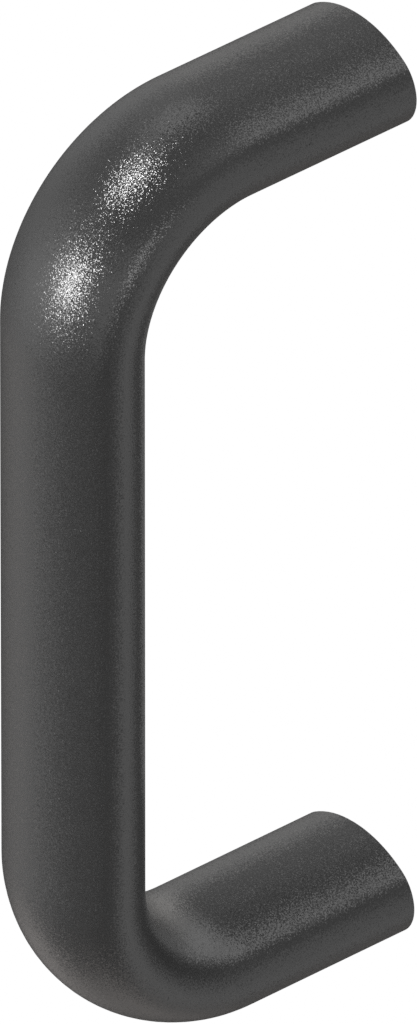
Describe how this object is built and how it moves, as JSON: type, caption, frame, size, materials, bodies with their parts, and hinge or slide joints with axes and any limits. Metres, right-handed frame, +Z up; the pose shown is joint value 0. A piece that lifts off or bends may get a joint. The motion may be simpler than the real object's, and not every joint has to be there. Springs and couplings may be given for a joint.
{
  "type": "bow handle",
  "caption": "Bow handle for a cabinet door, drawer or cover: an oval bar bent into a U, with a blind tapped hole in the end of each leg, screwed on from behind.",
  "frame": {"origin": "on the mounting plane, midway between the two tapped holes", "axes": "+Y out of the feet, into the door or drawer front; +Z up, along the grip from the lower leg to the upper one; +X across the bar"},
  "size_m": [0.02, 0.049, 0.125],
  "materials": {
    "powder_coat": "fine-textured matt black powder coat on aluminium"
  },
  "bodies": {
    "root": {"bow_handle": "powder_coat"}
  },
  "joints": []
}
